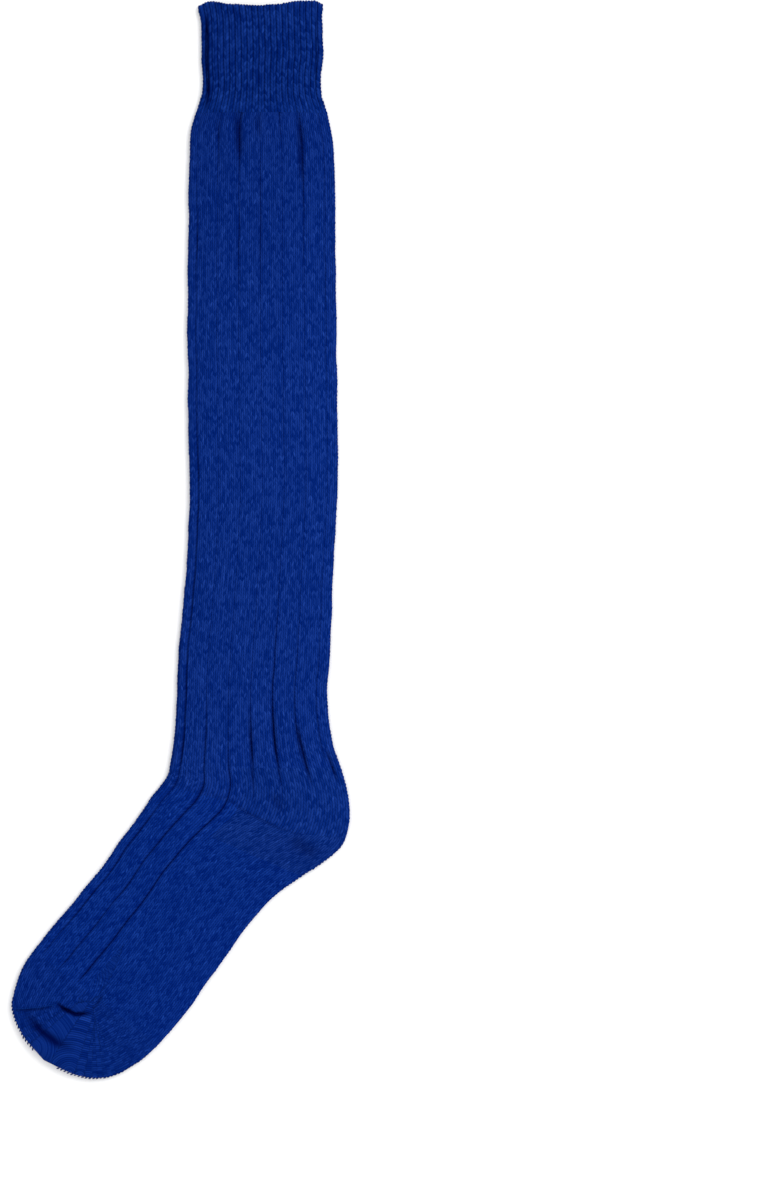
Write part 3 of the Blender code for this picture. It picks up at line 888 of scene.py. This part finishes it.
def knit_material(piece):
    """The cloth of one part: its yarn, painted shade in its gaps, grooves and creases, and tone."""
    dye = DYES[piece]
    material = bpy.data.materials.new(piece + " knit")
    material.use_nodes = True
    tree = material.node_tree
    calc = partial(math_node, tree)
    shader = tree.nodes["Principled BSDF"]
    knit, turned, marks, crease_shade_and_tone = (uv_output(tree, m) for m in ("Knit", "Turned", "Marks", "Folds"))
    side, ribbed = marks
    is_turned = calc("LESS_THAN", side, 0.0)
    group = tree.nodes.new("ShaderNodeGroup")
    group.node_tree = stitches
    group.inputs["Slant"].default_value = SLANT
    for name, straight, other in zip(("Wale", "Course"), knit, turned):
        change = calc("MULTIPLY", calc("SUBTRACT", other, straight), is_turned)
        tree.links.new(calc("ADD", straight, change), group.inputs[name])
    height = group.outputs["Height"]
    # The gaps between the yarn get painted shade
    in_yarn = calc("MULTIPLY", height, GAP_NARROWNESS, clamp=True)
    in_gap = calc("SUBTRACT", 1.0, in_yarn, clamp=True)
    spread = calc("MULTIPLY", group.outputs["Shade"], SHADE_SPREAD)
    is_fleck = calc("GREATER_THAN", group.outputs["Fleck"], FLECK_RARITY)
    light = calc("ADD", spread, calc("MULTIPLY", is_fleck, FLECK_LIGHT), clamp=True)
    yarn = mix_colours(tree, light, dye.main, dye.light)
    # The groove between two ribs gets a line of painted shade
    period, narrowness, strength = CUFF_GROOVE_SHADE if piece == "cuff" else RIB_GROOVE_SHADE
    place = calc("FRACT", calc("ADD", calc("DIVIDE", knit[0], period), 0.5))
    from_groove = calc("MULTIPLY", calc("ABSOLUTE", calc("SUBTRACT", place, 0.5)), period)
    closeness = calc("SUBTRACT", 1.0, calc("MULTIPLY", from_groove, narrowness), clamp=True)
    groove = calc("MULTIPLY", calc("MULTIPLY", closeness, ribbed), strength)
    # The painted shade of the gaps and of the groove together
    dark = calc("ADD", calc("MULTIPLY", in_gap, GAP_PAINTED_SHADE), groove, clamp=True)
    colour = mix_colours(tree, dark, yarn, dye.dark)
    # Painted shade in the creases, then the leg's darker top
    for amount, darkness in zip(crease_shade_and_tone, (CREASE_PAINTED_SHADE, TONE_DARKNESS)):
        shadow = calc("MULTIPLY", amount, darkness, clamp=True)
        colour = mix_colours(tree, shadow, colour, dye.dark)
    tree.links.new(colour, shader.inputs["Base Color"])
    bump = tree.nodes.new("ShaderNodeBump")
    bump.inputs["Distance"].default_value = STITCH_BUMP
    bump.inputs["Strength"].default_value = 1.0
    tree.links.new(height, bump.inputs["Height"])
    tree.links.new(bump.outputs["Normal"], shader.inputs["Normal"])
    shader.inputs["Roughness"].default_value = YARN_ROUGHNESS
    shader.inputs["Specular IOR Level"].default_value = 0.0
    return material


for piece, wall in walls.items():
    wall.data.materials.append(knit_material(piece))
    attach(wall, "root")
    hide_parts(piece)
print("materials:", [material.name for material in bpy.data.materials])

# %% [markdown]
# ## Stitches that stand up
#
# Three kinds of stitches stand off the cloth: the loops along the mouth, the ones that turn over
# the side folds, and the ones that link the toe shut. A bump can't show them, because they are
# seen against the white table. Each row is one small loop of yarn, set again and again along a
# path that lies on the cloth. A node group does the setting, so the path, the distance between
# stitches and the loop's size are all that a row needs.

# %% One loop of yarn
LOOP_STEPS, LOOP_SIDES = 6, 5
YARN_SHARE = 0.24


def loop_object():
    """A half ring of yarn of unit width, open towards -Z, with closed ends."""
    points, faces = [], []
    for step in range(LOOP_STEPS + 1):
        turn = math.pi * step / LOOP_STEPS
        middle = np.array((-math.cos(turn) * 0.5, 0, math.sin(turn) * 0.5))
        for side in range(LOOP_SIDES):
            swing = 2 * math.pi * side / LOOP_SIDES
            out, aside = math.cos(swing), math.sin(swing)
            outward = np.array((-math.cos(turn) * out, aside, math.sin(turn) * out))
            points.append(middle + YARN_SHARE * outward)
    for step in range(LOOP_STEPS):
        for side in range(LOOP_SIDES):
            a, b = step * LOOP_SIDES + side, step * LOOP_SIDES + (side + 1) % LOOP_SIDES
            faces.append((a, a + LOOP_SIDES, b + LOOP_SIDES, b))
    faces.append(tuple(range(LOOP_SIDES)))
    faces.append(tuple(LOOP_STEPS * LOOP_SIDES + side for side in reversed(range(LOOP_SIDES))))
    mesh = bpy.data.meshes.new("loop of yarn")
    mesh.from_pydata([tuple(p) for p in points], [], faces)
    mesh.shade_smooth()
    return bpy.data.objects.new("loop of yarn", mesh)


loop = loop_object()
bpy.context.scene.collection.objects.link(loop)


# %% The node group that sets loops along a path
# The loops' sizes differ a little, and the seed keeps them the same on every run
SIZE_RANGE, SIZE_SEED = (0.88, 1.12), 5


def build_rows():
    """The group that sets loops along a path. Its attribute "up" says how they stand."""
    tree, inputs, outputs = new_group(
        "Loops Along A Path",
        "GeometryNodeTree",
        {
            "Path": "Geometry",
            "Distance": "Float",
            "Width": "Float",
            "Height": "Float",
            "Loop": "Object",
            "Yarn": "Material",
        },
        {"Stitches": "Geometry"},
    )
    nodes, link = tree.nodes, tree.links.new
    curve = nodes.new("GeometryNodeMeshToCurve")
    even = nodes.new("GeometryNodeResampleCurve")
    even.mode = "LENGTH"
    tangent = nodes.new("GeometryNodeInputTangent")
    upward = nodes.new("GeometryNodeInputNamedAttribute")
    upward.data_type = "FLOAT_VECTOR"
    upward.inputs["Name"].default_value = "up"
    stand = nodes.new("FunctionNodeAlignRotationToVector")
    stand.axis = "Z"
    face_path = nodes.new("FunctionNodeAlignRotationToVector")
    face_path.axis, face_path.pivot_axis = "X", "Z"
    chance = nodes.new("FunctionNodeRandomValue")
    chance.data_type = "FLOAT"
    chance.inputs[2].default_value, chance.inputs[3].default_value = SIZE_RANGE
    chance.inputs["Seed"].default_value = SIZE_SEED
    size = nodes.new("ShaderNodeCombineXYZ")
    grow = nodes.new("ShaderNodeVectorMath")
    grow.operation = "SCALE"
    info = nodes.new("GeometryNodeObjectInfo")
    place = nodes.new("GeometryNodeInstanceOnPoints")
    real = nodes.new("GeometryNodeRealizeInstances")
    paint = nodes.new("GeometryNodeSetMaterial")
    link(inputs.outputs["Path"], curve.inputs[0])
    link(curve.outputs[0], even.inputs["Curve"])
    link(inputs.outputs["Distance"], even.inputs["Length"])
    link(upward.outputs[0], stand.inputs["Vector"])
    link(stand.outputs[0], face_path.inputs["Rotation"])
    link(tangent.outputs[0], face_path.inputs["Vector"])
    for name in ("X", "Y"):
        link(inputs.outputs["Width"], size.inputs[name])
    link(inputs.outputs["Height"], size.inputs["Z"])
    link(size.outputs[0], grow.inputs[0])
    link(chance.outputs[1], grow.inputs["Scale"])
    link(inputs.outputs["Loop"], info.inputs["Object"])
    link(even.outputs[0], place.inputs["Points"])
    link(info.outputs["Geometry"], place.inputs["Instance"])
    link(face_path.outputs[0], place.inputs["Rotation"])
    link(grow.outputs[0], place.inputs["Scale"])
    link(place.outputs[0], real.inputs[0])
    link(real.outputs[0], paint.inputs["Geometry"])
    link(inputs.outputs["Yarn"], paint.inputs["Material"])
    link(paint.outputs[0], outputs.inputs["Stitches"])
    return tree


rows_group = build_rows()


def plain_yarn(name, colour):
    material = bpy.data.materials.new(name)
    material.use_nodes = True
    shader = material.node_tree.nodes["Principled BSDF"]
    shader.inputs["Base Color"].default_value = (*colour, 1)
    shader.inputs["Roughness"].default_value = YARN_ROUGHNESS
    shader.inputs["Specular IOR Level"].default_value = 0.0
    return material


def stitch_row(name, part, paths, kind):
    """A piece made of loops along paths. A path is its points and the way up at each."""
    mesh = bpy.data.meshes.new(name + " path")
    points = np.vstack([places for places, _ in paths])
    ups = np.vstack([up for _, up in paths])
    joins, first = [], 0
    for places, _ in paths:
        joins += [(first + i, first + i + 1) for i in range(len(places) - 1)]
        first += len(places)
    mesh.from_pydata(points.tolist(), joins, [])
    upward = mesh.attributes.new("up", "FLOAT_VECTOR", "POINT")
    upward.data.foreach_set("vector", ups.astype(np.float32).ravel())
    guide = bpy.data.objects.new(name + " path", mesh)
    bpy.context.scene.collection.objects.link(guide)
    setter = guide.modifiers.new("loops", "NODES")
    setter.node_group = rows_group
    values = {
        "Distance": kind.distance,
        "Width": kind.width,
        "Height": kind.height,
        "Loop": loop,
        "Yarn": plain_yarn(name + " yarn", kind.colour),
    }
    for item in rows_group.interface.items_tree:
        if item.in_out == "INPUT" and item.name in values:
            setter[item.identifier] = values[item.name]
    bpy.context.view_layer.update()
    ready = guide.evaluated_get(bpy.context.evaluated_depsgraph_get())
    row = bpy.data.objects.new(name, bpy.data.meshes.new_from_object(ready))
    row.data.name = name
    bpy.context.scene.collection.objects.link(row)
    bpy.data.objects.remove(guide, do_unlink=True)
    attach(row, "root")
    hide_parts(part)
    print(name, "has", len(row.data.polygons), "faces")


# %% The paths of the rows
ROW_STEP = 0.001
RIM_STEP = 0.004
ABOVE_SOCK = 0.05


def along_side(piece, rounds, sink):
    """A path along a part at one way around, sunk a little into the cloth."""
    alongs = np.arange(grid_rows(piece)[0], grid_rows(piece)[-1], ROW_STEP)
    alongs = alongs[[covered(piece, np.array([rounds]), along)[0] for along in alongs]]
    outer, _ = cloth_points(np.array([rounds]), alongs, 0)
    inner, _ = cloth_points(np.array([rounds]), alongs, CLOTH)
    inward = inner[:, 0] - outer[:, 0]
    inward = inward / np.linalg.norm(inward, axis=1)[:, None]
    return outer[:, 0] + inward * sink, -inward


def round_mouth(sink):
    """A path round the mouth's rim, in the middle of the cloth."""
    ways = np.linspace(0, 1, 400)
    rim, _ = cloth_points(ways, np.array([sink]), CLOTH / 2)
    below, _ = cloth_points(ways, np.array([sink + RIM_STEP]), CLOTH / 2)
    up = rim[0] - below[0]
    return rim[0], up / np.linalg.norm(up, axis=1)[:, None]


def over_cloth(path, wall, sink):
    """A path in plan laid on the upper face of a part, sunk a little into it."""
    corners = in_plan(path)
    steps = np.concatenate(([0], np.cumsum(np.linalg.norm(np.diff(corners, axis=0), axis=1))))
    ways = np.arange(0, steps[-1], ROW_STEP)
    plan = np.column_stack([np.interp(ways, steps, corners[:, k]) for k in (0, 1)])
    hits = [wall.ray_cast((x, y, ABOVE_SOCK), (0, 0, -1)) for x, y in plan]
    kept = [(hit[1], hit[2]) for hit in hits if hit[0]]
    places = np.array([tuple(place) for place, _ in kept])
    ups = np.array([tuple(up) for _, up in kept])
    return places - ups * sink, ups


# %% The rows of loops
DARK_YARN = (0.0008, 0.0140, 0.125)
MID_YARN = (0.0020, 0.0220, 0.170)
Row = namedtuple("Row", "distance width height colour")
MOUTH_ROW = Row(0.00175, 0.0014, 0.0018, DARK_YARN)
SIDE_ROW = Row(COURSE, 0.0021, 0.0016, DARK_YARN)
SEAM_ROW = Row(0.0015, 0.0012, 0.0014, MID_YARN)
# How deep the feet of each kind of loop sit in the cloth
MOUTH_SINK, SIDE_SINK, SEAM_SINK = 0.0006, 0.00105, 0.0005
SEAM_PATH = ((16, 1008), (40, 1006), (57, 1003))
bpy.context.view_layer.update()
stitch_row("mouth_loops", "cuff", [round_mouth(MOUTH_SINK)], MOUTH_ROW)
for piece in ("cuff", "leg", "foot", "heel", "toe"):
    # The heel has a side fold at its back only
    ways = (0.5,) if piece == "heel" else (0.0, 0.5)
    sides = [along_side(piece, way, SIDE_SINK) for way in ways]
    stitch_row(piece + "_side_loops", piece, sides, SIDE_ROW)
stitch_row("toe_seam_loops", "toe", [over_cloth(SEAM_PATH, walls["toe"], SEAM_SINK)], SEAM_ROW)
bpy.data.objects.remove(loop, do_unlink=True)

# %% [markdown]
# ## The table, the light and the camera
#
# The sock lies on a plain white table. A photographer lights such a picture with a bright tent
# of soft light and one larger lamp at the upper right, which leaves a faint shadow at the left.
# An even white world stands for the tent, and a round area lamp for the lamp. The camera looks
# straight down from far enough away that the sock's height hardly moves its outline.

# %% The table
FLOOR_HALF = 3.0
FLOOR_DROP = 0.0002
FLOOR_GREY = 0.92
square = ((-1, -1), (1, -1), (1, 1), (-1, 1))
floor_mesh = bpy.data.meshes.new("table top")
floor_mesh.from_pydata([(FLOOR_HALF * x, FLOOR_HALF * y, 0) for x, y in square], [], [(0, 1, 2, 3)])
floor = bpy.data.objects.new("floor", floor_mesh)
floor.location.z = -FLOOR_DROP
bpy.context.scene.collection.objects.link(floor)
table_paint = bpy.data.materials.new("white table")
table_paint.use_nodes = True
table_shader = table_paint.node_tree.nodes["Principled BSDF"]
table_shader.inputs["Base Color"].default_value = (FLOOR_GREY, FLOOR_GREY, FLOOR_GREY, 1)
table_shader.inputs["Roughness"].default_value = 0.9
floor_mesh.materials.append(table_paint)

# %% The light
TENT_STRENGTH = 1.05
LAMP_SIZE = 1.3
LAMP_WATTS = 24
LAMP_PLACE = (1.3, 0.9, 1.6)
world = bpy.data.worlds.new("soft tent")
world.use_nodes = True
world.node_tree.nodes["Background"].inputs["Color"].default_value = (1, 1, 1, 1)
world.node_tree.nodes["Background"].inputs["Strength"].default_value = TENT_STRENGTH
bpy.context.scene.world = world
lamp = bpy.data.objects.new("window", bpy.data.lights.new("window", "AREA"))
lamp.data.shape = "DISK"
lamp.data.size = LAMP_SIZE
lamp.data.energy = LAMP_WATTS
lamp.location = LAMP_PLACE
lamp.rotation_euler = (-lamp.location).to_track_quat("-Z", "Y").to_euler()
bpy.context.scene.collection.objects.link(lamp)

# %% The camera
VIEW_HEIGHT = 0.744
CAMERA_HEIGHT = 2.5
CAMERA_PLACE = (0.1246, -0.0378, CAMERA_HEIGHT)
camera = bpy.data.objects.new("camera", bpy.data.cameras.new("camera"))
camera.data.angle = 2 * math.atan(VIEW_HEIGHT / 2 / CAMERA_HEIGHT)
camera.location = CAMERA_PLACE
bpy.context.scene.collection.objects.link(camera)
bpy.context.scene.camera = camera
bpy.context.scene.view_settings.view_transform = "Standard"
